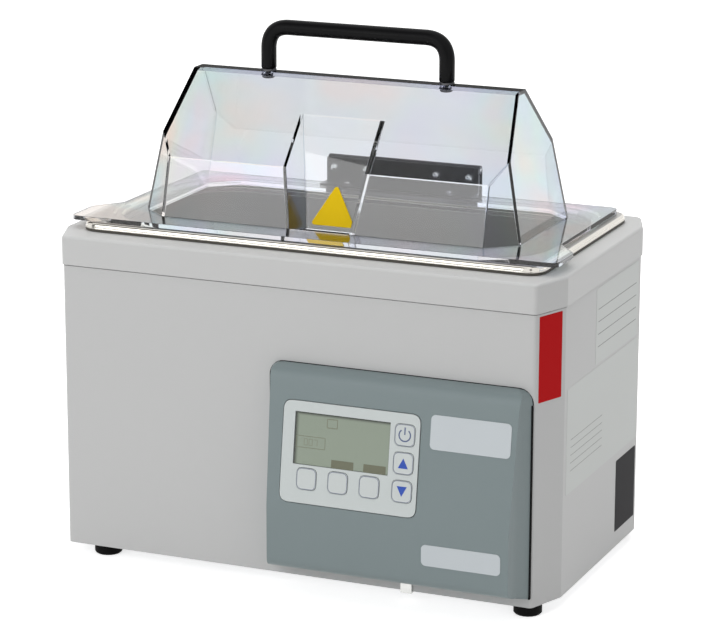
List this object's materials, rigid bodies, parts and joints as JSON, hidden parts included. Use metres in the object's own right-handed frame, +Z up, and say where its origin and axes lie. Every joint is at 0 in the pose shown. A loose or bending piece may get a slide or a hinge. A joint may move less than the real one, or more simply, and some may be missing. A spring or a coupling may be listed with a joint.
{
  "type": "laboratory water bath",
  "caption": "Bench-top water bath: sheet case with a drawn steel tank, a sloping keypad panel with a display, and a clear gabled lid hinged at the back.",
  "frame": {"origin": "on the bench, under the middle of the overall box", "axes": "+X to the right seen from the front, +Y to the back where the lid is hinged, +Z up"},
  "size_m": [0.355, 0.232, 0.3568],
  "materials": {
    "case_paint": "light grey powder coat, satin",
    "cover_plastic": "light grey moulded cover, satin",
    "base_steel": "galvanised sheet",
    "foot_rubber": "black rubber, matt",
    "screw_steel": "bright plated screws and nuts",
    "tank_steel": "drawn stainless steel, satin",
    "gasket_silicone": "grey silicone strip",
    "insulation": "glass wool blanket",
    "heater_rubber": "orange silicone heater mat",
    "board_green": "green circuit board",
    "panel_plastic": "grey-green moulded housing, fine texture",
    "frame_plastic": "pale grey printed frame",
    "key_plastic": "pale grey soft keys with a dark outline",
    "display_glass": "grey-green display under a clear window",
    "inlet_plastic": "black moulded inlet",
    "lid_clear": "clear moulded polycarbonate",
    "handle_plastic": "black nylon bar",
    "hinge_steel": "dark polished stainless"
  },
  "bodies": {
    "case": {"outer_case": "case_paint", "base_plate": "base_steel", "foot_front_left": "foot_rubber", "foot_front_right": "foot_rubber", "foot_back_left": "foot_rubber", "foot_back_right": "foot_rubber", "foot_screw_front_left": "screw_steel", "foot_screw_front_right": "screw_steel", "foot_screw_back_left": "screw_steel", "foot_screw_back_right": "screw_steel", "top_cover": "cover_plastic", "tank": "tank_steel", "rim_gasket": "gasket_silicone", "tank_insulation": "insulation", "heater_pad": "heater_rubber", "temperature_probe": "screw_steel", "thermal_cutout": "base_steel", "board_standoff_1": "screw_steel", "board_standoff_2": "screw_steel", "board_standoff_3": "screw_steel", "board_standoff_4": "screw_steel", "power_board": "board_green", "power_inlet": "inlet_plastic", "inlet_screw_left": "screw_steel", "inlet_screw_right": "screw_steel", "panel_housing": "panel_plastic", "panel_clip": "cover_plastic", "keypad_frame": "frame_plastic", "lcd_module": "display_glass", "display_board": "board_green", "hinge_case_leaf": "hinge_steel", "hinge_pin": "screw_steel", "hinge_screw_left": "screw_steel", "hinge_screw_right": "screw_steel"},
    "lid": {"lid_hood": "lid_clear", "lid_handle": "handle_plastic", "handle_washer_left": "screw_steel", "handle_washer_right": "screw_steel", "handle_screw_left": "screw_steel", "handle_screw_right": "screw_steel", "lid_bracket": "hinge_steel", "dome_nut_1": "screw_steel", "dome_nut_2": "screw_steel", "dome_nut_3": "screw_steel", "dome_nut_4": "screw_steel", "bracket_screw_left": "screw_steel", "bracket_screw_right": "screw_steel", "hinge_lid_leaf": "hinge_steel"},
    "soft_left": {"key_soft_left": "key_plastic"},
    "soft_middle": {"key_soft_middle": "key_plastic"},
    "soft_right": {"key_soft_right": "key_plastic"},
    "power": {"key_power": "key_plastic"},
    "up": {"key_up": "key_plastic"},
    "down": {"key_down": "key_plastic"}
  },
  "joints": [
    {"name": "lid_hinge", "type": "hinge", "parent": "case", "child": "lid", "pos_m": [0, 0.0982, 0.24675], "axis": [-1, 0, 0], "range_deg": [0, 100]},
    {"name": "soft_left_press", "type": "slide", "parent": "case", "child": "soft_left", "axis": [0, 0.99, -0.1407], "range_m": [0, 0.0005], "stiffness_N_per_m": 600, "springref_m": -0.0012},
    {"name": "soft_middle_press", "type": "slide", "parent": "case", "child": "soft_middle", "axis": [0, 0.99, -0.1407], "range_m": [0, 0.0005], "stiffness_N_per_m": 600, "springref_m": -0.0012},
    {"name": "soft_right_press", "type": "slide", "parent": "case", "child": "soft_right", "axis": [0, 0.99, -0.1407], "range_m": [0, 0.0005], "stiffness_N_per_m": 600, "springref_m": -0.0012},
    {"name": "power_press", "type": "slide", "parent": "case", "child": "power", "axis": [0, 0.99, -0.1407], "range_m": [0, 0.0005], "stiffness_N_per_m": 600, "springref_m": -0.0012},
    {"name": "up_press", "type": "slide", "parent": "case", "child": "up", "axis": [0, 0.99, -0.1407], "range_m": [0, 0.0005], "stiffness_N_per_m": 600, "springref_m": -0.0012},
    {"name": "down_press", "type": "slide", "parent": "case", "child": "down", "axis": [0, 0.99, -0.1407], "range_m": [0, 0.0005], "stiffness_N_per_m": 600, "springref_m": -0.0012}
  ]
}
